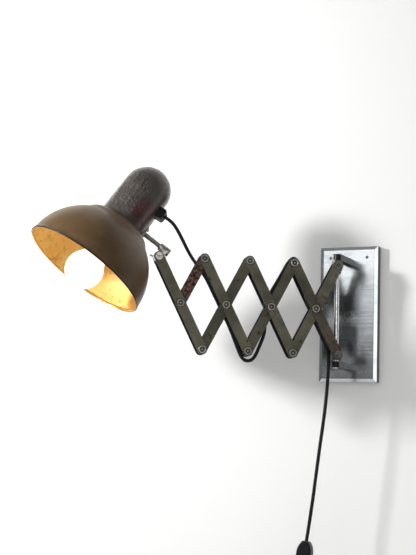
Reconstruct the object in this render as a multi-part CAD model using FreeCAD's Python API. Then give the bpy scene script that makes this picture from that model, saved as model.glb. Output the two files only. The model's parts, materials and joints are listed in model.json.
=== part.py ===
import FreeCAD, Part
import os
from math import atan2, cos, degrees, hypot, pi, radians, sin, sqrt, tan

# Accordion wall lamp: a lazy-tongs arm of riveted steel strips swings on an upright rod
# that two lugs hold in front of a pressed wall plate, and carries a half-round shade.
# The origin is the middle of the plate's back, on the wall. +Z is up, -Y is into the room.

Vector = FreeCAD.Vector
Rotation = FreeCAD.Rotation
Placement = FreeCAD.Placement
X, Y, Z = Vector(1, 0, 0), Vector(0, 1, 0), Vector(0, 0, 1)
ORIGIN = Vector(0, 0, 0)

# ---------------------------------------------------------------- driving dimensions, mm and degrees
FIT = 0.08             # running clearance on the radius of every pin and bore
OPEN_FIT = 0.15        # the same at pivots that close the linkage
SLIDE_GAP = 0.3        # side clearance between flat parts that turn past each other

# arm
LINK = 160.0           # end pivot to end pivot of a strip
FOLD = 63.2            # angle of the strips above the horizontal
SWING = 57.0           # the arm's angle to the left of straight out from the wall
COLUMNS = 4            # columns of pivots from the rod to the lamp
STRIP_W = 16.0
STRIP_T = 2.0
CHANNEL = 13.6         # gap between the two inner strips, where the cord runs
RIVET_R = 3.0
RIVET_HEAD_R = 6.1
RIVET_HEAD_T = 1.2
RIVET_CUP_R = 3.1
SLEEVE_R = 5.0
SLEEVE_PLAY = 0.1

# bracket
PLATE_W = 98.0
PLATE_H = 222.0
PLATE_D = 16.0
SHEET = 2.0
BEVEL_W = 5.3
BEVEL_D = 2.0
GROOVE_W = 0.8
GROOVE_D = 0.4
HOLE_R = 2.6
HOLE_SPACING_X = 62.0
HOLE_SPACING_Z = 186.0
ROD_OUT = 76.0         # rod axis to wall
ROD_R = 4.0
ROD_PROUD = 1.0        # each end of the rod beyond its lug
LUG_W = 13.0
LUG_T = 10.0
LUG_TENON_R = 3.5
LOWER_LUG_DROP = 2.2   # room below the slider when the arm hangs as drawn
COLLAR_R = 6.3
COLLAR_T = 5.0
BLOCK_W = 14.0         # swivel and slider blocks, along the arm
BLOCK_HALF = 8.3       # swivel block, half height
SLIDER_HALF = 7.9      # slider block, half height
WASHER_R = 6.25
WASHER_T = 1.2
SCREW_HEAD_R = 5.0
SCREW_HEAD_T = 2.2

# head
STEM_ANGLE = 35.56     # the stem's angle above the horizontal
HEAD_TURN = 7.02       # the head's turn about the stem
STEM_RISE = 15.0       # stem axis from the tilt bolt
STEM_REACH = 78.5      # tilt bolt to the head's axis, along the stem
STEM_R = 3.75
SHADE_R = 100.5
SHADE_DROP = 1.4       # centre of the shade's sphere below its mouth
SHADE_WALL = 1.2
SHADE_RIM_T = 2.4
SHADE_TOP_R = 59.0     # where the sphere stops and a low band starts
BAND_IN = 3.0          # the band's lean towards the axis
BAND_H = 4.1
SHOULDER_H = 9.7       # from the band to the neck
SHOULDER_SWELL = 2.0   # rise of the round shoulder above its chord
CAP_R = 38.5
NECK_LIP = 1.1         # neck beyond the cap
NECK_HOLE_GAP = 0.3    # room round the lamp holder in the neck
HEAD_LENGTH = 202.2    # mouth to the tip of the cap
HOLDER_R = 19.5
FLANGE_R = 27.0
FLANGE_T = 3.0
BULB_R = 30.0
BULB_SEAT = 50.0       # top of the glass above the mouth
BULB_CAP_R = 13.2
BULB_CAP_L = 25.0
GLAND_DOWN = 60.2      # middle of the gland below the tip of the cap
GLAND_AZIMUTH = 160.0  # round the head's axis, 180 being the stem's side
GLAND_L = 18.0
GLAND_W = 15.0
GLAND_OUT = 51.0       # outer face of the gland from the head's axis

# tilt joint
EYE_R = 8.0
BARREL_R = 6.5
BARREL_BACK = 10.0
BARREL_FRONT = 9.0
BOLT_HEAD_R = 6.0
BOLT_HEAD_T = 3.6
SLOT_W = 1.4
SLOT_D = 1.3
WING_HUB_R = 5.6
WING_HUB_L = 8.0
WING_SPAN = 28.0
WING_T = 2.6
WING_SLOPE = 25.0
SADDLE_T = 2.0
SADDLE_L = 22.0
SADDLE_RAISE = 0.15    # foot of the saddle above the shade's neck
SADDLE_W = 16.0
SADDLE_SCREW_R = 1.5
SADDLE_SCREW_OUT = 7.8
SADDLE_HEAD_R = 2.7

# cord
CORD_R = 2.75
SWITCH_L = 62.0
SWITCH_W = 24.0
SWITCH_HALF_T = 8.0
COIL_R = 33.0          # middle of the turns
COIL_TURNS = 4         # two layers of two turns
COIL_PITCH = 6.0       # from turn to turn and from layer to layer
TAIL_RUN = 28.0        # straight lead into the coil
PLUG_RUN = 27.0        # straight lead out of the coil to the plug
TIE_W = 8.0
TIE_T = 1.2
ROCKER_L = 16.8
ROCKER_W = 9.0
ROCKER_GAP = 0.5
ROCKER_END_GAP = 1.1   # room for the rocker's ends as it tips
ROCKER_PIVOT_Y = -5.0
ROCKER_HUB_R = 2.2
PLUG_L = 36.0
PLUG_W = 26.0
PLUG_T = 14.0
PLUG_TAIL = 16.0
PIN_R = 2.0
PIN_L = 19.0
PIN_SPACING = 18.6

# ---------------------------------------------------------------- derived sizes
COLUMN = LINK * cos(radians(FOLD))
HALF_H = LINK * sin(radians(FOLD)) / 2
INNER_FACE = CHANNEL / 2
OUTER_FACE = INNER_FACE + STRIP_T + SLIDE_GAP
STACK = OUTER_FACE + STRIP_T
TOP = [Vector(COLUMN * (COLUMNS - i), 0, HALF_H) for i in range(COLUMNS + 1)]
BOTTOM = [Vector(p.x, 0, -HALF_H) for p in TOP]
MID = [None] + [Vector(COLUMN * (COLUMNS + 0.5 - i), 0, 0) for i in range(1, COLUMNS + 1)]
UPPER_LUG_Z = HALF_H + BLOCK_HALF + SLIDE_GAP + LUG_T / 2
LOWER_LUG_Z = -HALF_H - SLIDER_HALF - LOWER_LUG_DROP - LUG_T / 2
CAP_SHOULDER = HEAD_LENGTH - CAP_R
GLAND_LEVEL = HEAD_LENGTH - GLAND_DOWN
SHADE_SPHERE = hypot(SHADE_R, SHADE_DROP)
SHADE_TOP = sqrt(SHADE_SPHERE ** 2 - SHADE_TOP_R ** 2) - SHADE_DROP
BAND = (SHADE_TOP_R - BAND_IN, SHADE_TOP + BAND_H)
NECK = (CAP_R + NECK_LIP, BAND[1] + SHOULDER_H)
NECK_HOLE_R = HOLDER_R + NECK_HOLE_GAP
STEM_LEVEL = NECK[1] + SADDLE_RAISE + SADDLE_L / 2

# the arm's frame: X outward along the arm, Y to the front, Z up the rod
ARM = Placement(Vector(0, -ROD_OUT, 0), Rotation(Z, -(90 + SWING)))
# the tilt joint's frame: X along the stem to the shade, Y along the tilt bolt
TILT = ARM * Placement(TOP[0], Rotation(-Y, STEM_ANGLE))
# the head's frame: Z from the middle of the mouth up the head's axis, X away from the stem
HEAD = TILT * Placement(Vector(STEM_REACH, 0, STEM_RISE), Rotation(X, HEAD_TURN))
HEAD = HEAD * Placement(Vector(0, 0, -STEM_LEVEL), Rotation())
ROOM = Placement()

parts = {}


def keep(name, frame, *solids):
    """Store a piece, or a group of equal fasteners, under its node's name."""
    shape = solids[0] if len(solids) == 1 else Part.makeCompound(list(solids))
    shape = shape.copy()
    shape.Placement = frame * shape.Placement
    parts[name] = shape


# ---------------------------------------------------------------- helpers
def face(outline, at):
    """Face inside an outline. A point with "mid" is the middle of the arc between its neighbours."""
    points = [at(p[0], p[1]) for p in outline]
    count = len(points)
    edges = []
    i = 0
    while i < count:
        if len(outline[(i + 1) % count]) == 3:
            arc = Part.Arc(points[i], points[(i + 1) % count], points[(i + 2) % count])
            edges.append(arc.toShape())
            i += 2
        else:
            edges.append(Part.LineSegment(points[i], points[(i + 1) % count]).toShape())
            i += 1
    return Part.Face(Part.Wire(edges))


def turned(outline):
    """Solid turned about Z from an outline in radius and height."""
    return face(outline, lambda r, z: Vector(r, 0, z)).revolve(ORIGIN, Z, 360)


def rod(radius, low, high):
    return Part.makeCylinder(radius, high - low, Vector(0, 0, low))


def ring(outer, inner, low, high):
    return rod(outer, low, high).cut(rod(inner, low - 1, high + 1))


def box(x0, x1, y0, y1, z0, z1):
    return Part.makeBox(x1 - x0, y1 - y0, z1 - z0, Vector(x0, y0, z0))


def moved(shape, position, rotation=Rotation()):
    shape = shape.copy()
    shape.Placement = Placement(position, rotation) * shape.Placement
    return shape


def across(shape, pivot=ORIGIN):
    """Turn a shape made about Z so that it lies along Y through a pivot."""
    return moved(shape, pivot, Rotation(X, -90))


def along_x(shape, position=ORIGIN):
    """Turn a shape made about Z so that it lies along X."""
    return moved(shape, position, Rotation(Y, 90))


# ---------------------------------------------------------------- bracket
def bevelled_slab(width, height, depth, bevel_w, bevel_d):
    """Block from the wall to its front, with a bevel round the front."""
    slab = box(-width / 2, width / 2, -(depth - bevel_d), 0, -height / 2, height / 2)
    wires = []
    for inset, y in ((0, depth - bevel_d), (bevel_w, depth)):
        w, h = width / 2 - inset, height / 2 - inset
        corners = [Vector(-w, -y, -h), Vector(w, -y, -h), Vector(w, -y, h), Vector(-w, -y, h)]
        wires.append(Part.makePolygon(corners + corners[:1]))
    return slab.fuse(Part.makeLoft(wires, True, True)).removeSplitter()


def wall_plate():
    shell = bevelled_slab(PLATE_W, PLATE_H, PLATE_D, BEVEL_W, BEVEL_D)
    hollow = bevelled_slab(PLATE_W - 2 * SHEET, PLATE_H - 2 * SHEET, PLATE_D - SHEET, BEVEL_W, BEVEL_D)
    plate = shell.cut(hollow)
    w, h = PLATE_W / 2 - BEVEL_W, PLATE_H / 2 - BEVEL_W
    groove = box(-w, w, -PLATE_D, GROOVE_D - PLATE_D, -h, h)
    w, h = w - GROOVE_W, h - GROOVE_W
    plate = plate.cut(groove.cut(box(-w, w, -PLATE_D - 1, 1 - PLATE_D, -h, h)))
    for x in (-HOLE_SPACING_X / 2, HOLE_SPACING_X / 2):
        for z in (-HOLE_SPACING_Z / 2, HOLE_SPACING_Z / 2):
            plate = plate.cut(across(rod(HOLE_R, -PLATE_D - 1, 0), Vector(x, 0, z)))
    for radius, z in ((LUG_TENON_R, UPPER_LUG_Z), (LUG_TENON_R, LOWER_LUG_Z), (HOLE_R, 0)):
        plate = plate.cut(across(rod(radius + FIT, -PLATE_D - 1, 0), Vector(0, 0, z)))
    return plate


def lug(level):
    """Bar from the plate to the rod with a round nose, held in the plate by its tenon."""
    half = LUG_W / 2
    outline = [(-half, -PLATE_D), (-half, -ROD_OUT), (0, -ROD_OUT - half, "mid"), (half, -ROD_OUT),
               (half, -PLATE_D)]
    bar = face(outline, lambda x, y: Vector(x, y, level - LUG_T / 2)).extrude(Vector(0, 0, LUG_T))
    tenon = across(rod(LUG_TENON_R, -PLATE_D - 1, SHEET - PLATE_D), Vector(0, 0, level))
    bore = moved(rod(ROD_R + FIT, -LUG_T, LUG_T), Vector(0, -ROD_OUT, level))
    return bar.fuse(tenon).cut(bore)


def guide_rod():
    """Upright rod with slightly domed ends."""
    low, high = LOWER_LUG_Z - LUG_T / 2, UPPER_LUG_Z + LUG_T / 2
    dome = ROD_R * 0.75
    outline = [(0, low - ROD_PROUD), (dome, low - ROD_PROUD), (ROD_R, low), (ROD_R, high),
               (dome, high + ROD_PROUD), (0, high + ROD_PROUD)]
    return moved(turned(outline), Vector(0, -ROD_OUT, 0))


def centre_screw():
    head = rod(SCREW_HEAD_R, 0, SCREW_HEAD_T)
    slot = box(-SCREW_HEAD_R, SCREW_HEAD_R, -SLOT_W / 2, SLOT_W / 2, SCREW_HEAD_T / 2, SCREW_HEAD_T + 1)
    head = head.cut(slot)
    screw = head.fuse(rod(HOLE_R, SHEET + 1 - PLATE_D, 0))
    return moved(screw, Vector(0, -PLATE_D, 0), Rotation(X, 90))


def make_bracket():
    keep("wall_plate", ROOM, wall_plate())
    keep("lug_upper", ROOM, lug(UPPER_LUG_Z))
    keep("lug_lower", ROOM, lug(LOWER_LUG_Z))
    keep("guide_rod", ROOM, guide_rod())
    keep("centre_screw", ROOM, centre_screw())
    top = HALF_H - BLOCK_HALF
    keep("stop_collar", ROOM, moved(ring(COLLAR_R, ROD_R + FIT, top - COLLAR_T, top), Vector(0, -ROD_OUT, 0)))


# ---------------------------------------------------------------- blocks on the rod
def rod_block(half_width, half_height, fit, pin_end):
    """Block with an upright bore for the rod and a round pin on each side for the strips."""
    edge = BLOCK_W / 2
    block = box(-edge, edge, -half_width, half_width, -half_height, half_height)
    upright = [e for e in block.Edges if abs(e.tangentAt(e.FirstParameter).z) > 0.9]
    block = block.makeChamfer(1.5, upright)
    block = block.fuse(across(rod(RIVET_R, -pin_end, pin_end)))
    return block.cut(rod(ROD_R + fit, -half_height - 1, half_height + 1))


def make_blocks():
    face_out = INNER_FACE + STRIP_T + SLEEVE_PLAY
    block = rod_block(INNER_FACE - SLEEVE_PLAY, BLOCK_HALF, FIT, face_out + WASHER_T + 0.5)
    keep("swivel_block", ARM, moved(block, TOP[COLUMNS]))
    washer = ring(WASHER_R, RIVET_R + FIT, face_out, face_out + WASHER_T)
    keep("swivel_washers", ARM, *[across(moved(washer, ORIGIN, Rotation(X, turn)), TOP[COLUMNS])
                                  for turn in (0, 180)])

    face_out = STACK + SLEEVE_PLAY
    block = rod_block(OUTER_FACE - SLEEVE_PLAY, SLIDER_HALF, OPEN_FIT, face_out + WASHER_T)
    keep("slider_block", ARM, moved(block, BOTTOM[COLUMNS]))
    head = rod(RIVET_HEAD_R, face_out, face_out + BOLT_HEAD_T)
    head = head.cut(rod(RIVET_R + FIT, face_out - 1, face_out + WASHER_T))
    top = face_out + BOLT_HEAD_T
    slotted = head.cut(box(-BOLT_HEAD_R - 1, BOLT_HEAD_R + 1, -SLOT_W / 2, SLOT_W / 2, top - SLOT_D, top + 1))
    keep("slider_heads", ARM, across(slotted, BOTTOM[COLUMNS]),
         across(moved(head, ORIGIN, Rotation(X, 180)), BOTTOM[COLUMNS]))


# ---------------------------------------------------------------- lazy tongs
def strip(start, end, low, pivots):
    """Flat strip with round ends, holed at its pivots, lying at one depth of the arm."""
    way = (end - start).normalize()
    side = Vector(-way.z, 0, way.x) * (STRIP_W / 2)
    tip = way * (STRIP_W / 2)
    edges = [Part.LineSegment(start + side, end + side).toShape(),
             Part.Arc(end + side, end + tip, end - side).toShape(),
             Part.LineSegment(end - side, start - side).toShape(),
             Part.Arc(start - side, start - tip, start + side).toShape()]
    outline = Part.Wire(edges)
    outline.translate(Vector(0, low, 0))
    plate = Part.Face(outline).extrude(Vector(0, STRIP_T, 0))
    for pivot, fit in pivots:
        plate = plate.cut(across(rod(RIVET_R + fit, low - 1, low + STRIP_T + 1), pivot))
    return plate


def make_link(name, start, end, inner, pivots):
    """A link is a front and a back strip, which the rivets hold apart."""
    for side, low in (("front", inner), ("back", -inner - STRIP_T)):
        keep("link_%s_%s" % (name, side), ARM, strip(start, end, low, pivots))


def make_links():
    for i in range(COLUMNS):
        ends = [(TOP[i], FIT), (MID[i + 1], FIT), (BOTTOM[i + 1], FIT)]
        make_link("a%d" % i, TOP[i], BOTTOM[i + 1], OUTER_FACE, ends)
    for i in range(1, COLUMNS):
        low_fit = OPEN_FIT if i == 1 else FIT
        mid_fit = FIT if i == COLUMNS - 1 else OPEN_FIT
        ends = [(BOTTOM[i], low_fit), (MID[i + 1], mid_fit), (TOP[i + 1], FIT)]
        make_link("b%d" % i, BOTTOM[i], TOP[i + 1], INNER_FACE, ends)
    make_link("b0", MID[1], TOP[1], INNER_FACE, [(MID[1], FIT), (TOP[1], FIT)])


def rivet():
    """Tubular rivet: a cupped ring head in front, a flat one behind, and its spacer sleeve."""
    head = STACK + RIVET_HEAD_T
    outline = [(0, -head), (RIVET_HEAD_R, -head), (RIVET_HEAD_R, -STACK), (RIVET_R, -STACK),
               (RIVET_R, STACK), (RIVET_HEAD_R, STACK), (RIVET_HEAD_R, head - 0.5),
               (RIVET_HEAD_R - 0.9, head), (RIVET_CUP_R, head), (RIVET_CUP_R, head - 0.9), (0, head - 0.9)]
    half = INNER_FACE - SLEEVE_PLAY
    return turned(outline), ring(SLEEVE_R, RIVET_R + FIT, -half, half)


def make_pivots():
    shank, sleeve = rivet()
    rows = {"top": TOP[:COLUMNS], "mid": MID, "bottom": BOTTOM[:COLUMNS]}
    for row, places in rows.items():
        for i, place in enumerate(places):
            if i:
                keep("pivot_%s_%d" % (row, i), ARM, across(shank, place), across(sleeve, place))


# ---------------------------------------------------------------- tilt joint
def knuckle():
    """Eye on the tilt bolt and a cross barrel, into which the stem is screwed."""
    half = OUTER_FACE - SLEEVE_PLAY
    body = across(rod(EYE_R, -half, half))
    body = body.fuse(box(-BARREL_R, BARREL_R, -BARREL_R, BARREL_R, 0, STEM_RISE))
    body = body.fuse(along_x(rod(BARREL_R, -BARREL_BACK, BARREL_FRONT), Vector(0, 0, STEM_RISE)))
    body = body.cut(across(rod(RIVET_R + FIT, -half - 1, half + 1)))
    return body.cut(along_x(rod(STEM_R + FIT, 0, BARREL_FRONT + 1), Vector(0, 0, STEM_RISE)))


def tilt_bolt():
    top = STACK + BOLT_HEAD_T
    head = rod(BOLT_HEAD_R, STACK, top)
    head = head.cut(box(-BOLT_HEAD_R, BOLT_HEAD_R, -SLOT_W / 2, SLOT_W / 2, top - SLOT_D, top + 1))
    return across(head.fuse(rod(RIVET_R, -STACK - WING_HUB_L - 3, STACK)), TOP[0])


def wing_nut():
    """Hub with two thin wings that lean back."""
    hub = rod(WING_HUB_R, 0, WING_HUB_L)
    tip = WING_SPAN / 2
    wing = [(RIVET_R + 0.6, 1.0), (tip - 6, 4.5), (tip - 0.8, 8.2, "mid"), (tip - 3.5, 13.0),
            (tip - 7.5, 12.6, "mid"), (RIVET_R + 0.8, WING_HUB_L)]
    blade = face(wing, lambda r, z: Vector(r, -WING_T / 2, z)).extrude(Vector(0, WING_T, 0))
    nut = hub.fuse(blade).fuse(moved(blade, ORIGIN, Rotation(Z, 180)))
    nut = nut.cut(rod(RIVET_R + FIT, -1, WING_HUB_L + 8))
    nut = moved(nut, ORIGIN, Rotation(Z, WING_SLOPE))
    return moved(nut, TOP[0] + Vector(0, -STACK, 0), Rotation(X, 90))


def stem():
    """Round stem from the knuckle through the saddle and the cap's wall, with a collar inside."""
    inside = CAP_R - SHADE_WALL - 0.6
    end = STEM_REACH - inside
    outline = [(0, SLIDE_GAP), (STEM_R, SLIDE_GAP), (STEM_R, end), (STEM_R + 2.5, end),
               (STEM_R + 2.5, end + 2.5), (0, end + 2.5)]
    return along_x(turned(outline), Vector(0, 0, STEM_RISE))


def make_tilt_joint():
    keep("knuckle", TILT, knuckle())
    keep("tilt_bolt", ARM, tilt_bolt())
    keep("wing_nut", ARM, wing_nut())
    keep("stem", TILT, stem())


# ---------------------------------------------------------------- head
def sphere_height(radius, sphere_radius):
    """Height above the mouth at which a sphere about the shade's centre has a radius."""
    return sqrt(sphere_radius ** 2 - radius ** 2) - SHADE_DROP


def shade_outline(wall):
    """Outline of the shade's outside, or of its inside where a wall is taken off."""
    sphere = SHADE_SPHERE - wall
    mouth = sqrt(sphere ** 2 - SHADE_DROP ** 2)
    middle = 0.78 * sphere
    top_r = SHADE_TOP_R - wall
    band = (BAND[0] - wall, BAND[1] - wall / 2)
    neck = (NECK[0] - wall / 2, NECK[1] - wall)
    run, rise = band[0] - neck[0], neck[1] - band[1]
    chord = hypot(run, rise)
    shoulder = ((band[0] + neck[0]) / 2 + SHOULDER_SWELL * rise / chord,
                (band[1] + neck[1]) / 2 + SHOULDER_SWELL * run / chord, "mid")
    return [(0, 0), (mouth, 0), (middle, sphere_height(middle, sphere), "mid"),
            (top_r, sphere_height(top_r, sphere)), band, shoulder, neck, (0, neck[1])]


def shade():
    shell = turned(shade_outline(0)).cut(turned(shade_outline(SHADE_WALL)))
    rim = ring(SHADE_R + SHADE_WALL, SHADE_R - SHADE_WALL, -SHADE_RIM_T / 2, SHADE_RIM_T / 2)
    return shell.fuse(rim).cut(rod(NECK_HOLE_R, NECK[1] - 5, NECK[1] + 5))


def cap():
    """Round-ended can that stands on the neck of the shade and hides the lamp holder."""
    foot, r, inner = NECK[1], CAP_R, CAP_R - SHADE_WALL
    slant = sqrt(0.5)
    outline = [(inner, foot), (r, foot), (r, CAP_SHOULDER), (r * slant, CAP_SHOULDER + r * slant, "mid"),
               (0, HEAD_LENGTH), (0, HEAD_LENGTH - SHADE_WALL),
               (inner * slant, CAP_SHOULDER + inner * slant, "mid"), (inner, CAP_SHOULDER)]
    can = turned(outline)
    can = can.cut(along_x(rod(STEM_R + FIT, -CAP_R - 1, 1 - CAP_R + SHADE_WALL), Vector(0, 0, STEM_LEVEL)))
    for level in saddle_screw_levels():
        can = can.cut(along_x(rod(SADDLE_SCREW_R + FIT, -CAP_R - 1, 2 - CAP_R), Vector(0, 0, level)))
    return can


def saddle_screw_levels():
    return STEM_LEVEL - SADDLE_SCREW_OUT, STEM_LEVEL + SADDLE_SCREW_OUT


def saddle_plate():
    """Curved plate between the stem and the cap."""
    low, high = STEM_LEVEL - SADDLE_L / 2, STEM_LEVEL + SADDLE_L / 2
    plate = ring(CAP_R + SADDLE_T, CAP_R, low, high)
    plate = plate.common(box(-CAP_R - SADDLE_T - 1, 0, -SADDLE_W / 2, SADDLE_W / 2, low, high))
    plate = plate.cut(along_x(rod(STEM_R + FIT, -CAP_R - SADDLE_T - 1, -CAP_R + 2), Vector(0, 0, STEM_LEVEL)))
    for level in saddle_screw_levels():
        plate = plate.cut(along_x(rod(SADDLE_SCREW_R + FIT, -CAP_R - SADDLE_T - 1, 2 - CAP_R),
                                  Vector(0, 0, level)))
    return plate


def saddle_screw():
    seat = -CAP_R - SADDLE_T
    outline = [(0, seat - 1.6), (SADDLE_HEAD_R * 0.6, seat - 1.6), (SADDLE_HEAD_R, seat - 0.7),
               (SADDLE_HEAD_R, seat), (SADDLE_SCREW_R, seat), (SADDLE_SCREW_R, seat + 5), (0, seat + 5)]
    return along_x(turned(outline))


def lamp_holder():
    """Holder whose flange and ring grip the neck of the shade between them."""
    seat = NECK[1] - SHADE_WALL
    outline = [(0, BULB_SEAT + BULB_CAP_L + 3), (BULB_CAP_R + 0.4, BULB_SEAT + BULB_CAP_L + 3),
               (BULB_CAP_R + 0.4, BULB_SEAT - 1), (HOLDER_R - 1.5, BULB_SEAT - 1), (HOLDER_R, BULB_SEAT + 3),
               (HOLDER_R, seat - FLANGE_T), (FLANGE_R, seat - FLANGE_T), (FLANGE_R, seat), (HOLDER_R, seat),
               (HOLDER_R, NECK[1] + 9), (8, NECK[1] + 14), (0, NECK[1] + 14)]
    return turned(outline)


def bulb_glass():
    """Pear-shaped lamp bulb."""
    turn, neck_r = radians(30), BULB_CAP_R - 0.4
    wide, high = BULB_R * cos(turn), BULB_R * sin(turn)
    waist_r = neck_r + 4.2
    waist = (waist_r, high + (wide - waist_r) / tan(turn))
    bend = (neck_r + 0.8, BULB_SEAT - 10, "mid")
    outline = [(0, -BULB_R), (wide, -high, "mid"), (wide, high), waist, bend, (neck_r, BULB_SEAT),
               (0, BULB_SEAT)]
    return turned(outline)


def bulb_cap():
    """Screw cap with its threads as rounded rings, and the contact at its end."""
    low, pitch, turns = BULB_SEAT, 4.4, 4
    outline = [(0, low), (BULB_CAP_R, low)]
    for i in range(turns):
        start = low + 3 + i * pitch
        outline += [(BULB_CAP_R - 0.9, start), (BULB_CAP_R, start + pitch / 2)]
    outline += [(BULB_CAP_R - 0.9, low + 3 + turns * pitch), (5.5, low + BULB_CAP_L - 1.5),
                (4.5, low + BULB_CAP_L + 2), (0, low + BULB_CAP_L + 2)]
    return turned(outline)


def gland():
    """Rounded block on the cap's wall, where the cord leaves the lamp."""
    half, corner = GLAND_L / 2, 4.0
    seat = CAP_R - 6
    in_r, in_z = GLAND_OUT - corner * 0.3, half - corner * 0.3
    outline = [(seat, -half), (GLAND_OUT - corner, -half), (in_r, -in_z, "mid"), (GLAND_OUT, corner - half),
               (GLAND_OUT, half - corner), (in_r, in_z, "mid"), (GLAND_OUT - corner, half), (seat, half)]
    block = face(outline, lambda r, z: Vector(r, -GLAND_W / 2, z)).extrude(Vector(0, GLAND_W, 0))
    block = block.cut(rod(CAP_R, -GLAND_L, GLAND_L))
    return moved(block, Vector(0, 0, GLAND_LEVEL), Rotation(Z, GLAND_AZIMUTH))


def make_head():
    keep("shade", HEAD, shade())
    keep("lamp_cap", HEAD, cap())
    keep("saddle_plate", HEAD, saddle_plate())
    screw = saddle_screw()
    keep("saddle_screws", HEAD, *[moved(screw, Vector(0, 0, level)) for level in saddle_screw_levels()])
    keep("lamp_holder", HEAD, lamp_holder())
    keep("holder_ring", HEAD, ring(FLANGE_R, HOLDER_R + FIT, NECK[1], NECK[1] + FLANGE_T))
    keep("bulb_glass", HEAD, bulb_glass())
    keep("bulb_cap", HEAD, bulb_cap())
    keep("cord_gland", HEAD, gland())


# ---------------------------------------------------------------- cord
def straight(start, end):
    return Part.LineSegment(start, end).toShape()


def bent_path(points, name):
    """Straight runs joined by tangent arcs, each as large as its two runs allow."""
    edges = []
    here = points[0]
    radii = []
    for before, corner, after in zip(points, points[1:], points[2:]):
        back, ahead = (before - corner), (after - corner)
        reach = 0.45 * min(back.Length, ahead.Length)
        turn = pi - back.getAngle(ahead)
        back, ahead = back.normalize(), ahead.normalize()
        radius = reach / tan(turn / 2)
        middle = (back + ahead).normalize() * (radius / cos(turn / 2) - radius)
        first, last = corner + back * reach, corner + ahead * reach
        edges.append(straight(here, first))
        edges.append(Part.Arc(first, corner + middle, last).toShape())
        here = last
        radii.append(radius)
    edges.append(straight(here, points[-1]))
    print("%s: bend radii %s" % (name, " ".join("%.0f" % r for r in radii)))
    return edges


def tube(edges, name):
    """Round tube along a path; its volume is compared with its section times its length."""
    path = Part.Wire(edges)
    first = edges[0]
    start = first.valueAt(first.FirstParameter)
    way = first.tangentAt(first.FirstParameter)
    circle = Part.Wire(Part.Circle(start, way, CORD_R).toShape())
    solid = path.makePipeShell([circle], True, False)
    length = sum(edge.Length for edge in edges)
    share = solid.Volume / (pi * CORD_R ** 2 * length)
    print("%s: length %.0f mm, volume %.3f of section times length, valid %s" %
          (name, length, share, solid.isValid()))
    return solid


def beside(start, end, share, off, depth=0.0):
    """Point beside a link: a share of the way along it, and off to one side."""
    way = end - start
    side = Vector(-way.z, 0, way.x).normalize()
    return start + way * share + side * off + Vector(0, depth, 0)


def around(pivot, angle, distance):
    return pivot + Vector(cos(radians(angle)), 0, sin(radians(angle))) * distance


def gland_mouth(distance):
    """Point in the arm's frame, straight out of the gland."""
    way = Vector(cos(radians(GLAND_AZIMUTH)), sin(radians(GLAND_AZIMUTH)), 0)
    point = Vector(0, 0, GLAND_LEVEL) + way * (GLAND_OUT + distance)
    return ARM.inverse().multVec(HEAD.multVec(point))


# The held cord's route, in the arm's frame: it falls from the gland into the channel beside
# link a1, loops round the foot of that link, climbs beside b2 and over its top pivot,
# and runs down beside a3.
A1, B2, A3 = (TOP[1], BOTTOM[2]), (BOTTOM[2], TOP[3]), (TOP[3], BOTTOM[4])
FALL = [gland_mouth(0), gland_mouth(12), beside(*A1, -0.38, 22.2, 17.5), beside(*A1, -0.28, 21.0, 15.5),
        beside(*A1, -0.18, 19.9, 11.5), beside(*A1, -0.08, 19.0, 6.5), beside(*A1, 0.02, 17.8, 2.0),
        beside(*A1, 0.12, 15.0), beside(*A1, 0.22, 12.0)]
LOOP = [beside(*A1, 0.35, 9.2), beside(*A1, 0.53, 8.5), beside(*A1, 0.70, 8.2), beside(*A1, 0.86, 9.2),
        BOTTOM[2] + Vector(8.2, 0, -11.8), BOTTOM[2] + Vector(-1.5, 0, -17.8),
        BOTTOM[2] + Vector(-12.2, 0, -13.2), beside(*B2, 0.12, 14.5)]
CLIMB = [beside(*B2, 0.26, 11.5), beside(*B2, 0.39, -1.0), beside(*B2, 0.50, -9.9),
         beside(*B2, 0.63, -10.4), beside(*B2, 0.80, -8.6), around(TOP[3], 62, 10.4),
         around(TOP[3], 132, 10.4), beside(*A3, 0.16, -5.0), beside(*A3, 0.33, 3.0),
         beside(*A3, 0.50, 9.0), beside(*A3, 0.67, 8.4), beside(*A3, 0.84, 8.6)]
# the nodes meet in the middle of a run
MEET_1 = (FALL[-1] + LOOP[0]) * 0.5
MEET_2 = (LOOP[-1] + CLIMB[0]) * 0.5
EXIT = Vector(15.6, 0, -62.0)
EXIT_WAY = (EXIT - CLIMB[-1]).normalize()

# The free lead's route, in the room: it hangs from the arm's foot past the lower lug to the switch.
DROP = [ARM.multVec(EXIT), ARM.multVec(EXIT + EXIT_WAY * 12), Vector(-9.9, -82.6, -97),
        Vector(-11.4, -83, -128), Vector(-15.0, -83, -166), Vector(-21.0, -83, -211), Vector(-26.6, -83, -256),
        Vector(-32.3, -83, -303), Vector(-38.6, -83, -347), Vector(-41.1, -83, -364)]
SWITCH_WAY = (DROP[-1] - DROP[-2]).normalize()
SWITCH_END = DROP[-1] + SWITCH_WAY * SWITCH_L
TAIL_BEND = SWITCH_END + SWITCH_WAY * 27


def biarc(start, start_way, end, end_way):
    """Two arcs that leave one point and reach another along given directions."""
    gap = end - start
    a = 2 * (start_way.dot(end_way) - 1)
    b = -2 * gap.dot(start_way + end_way)
    c = gap.dot(gap)
    reach = (-b - sqrt(b * b - 4 * a * c)) / (2 * a)
    joint = (start + end + (start_way - end_way) * reach) * 0.5
    edges = []
    halves = ((start, start + start_way * reach, joint), (joint, end - end_way * reach, end))
    for here, corner, there in halves:
        chord = (here + there) * 0.5
        half = (there - here).Length / 2
        rise = (corner - chord).Length
        sagitta = half * (sqrt(rise ** 2 + half ** 2) - half) / rise
        middle = chord + (corner - chord).normalize() * sagitta
        edges.append(Part.Arc(here, middle, there).toShape())
    return edges


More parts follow.
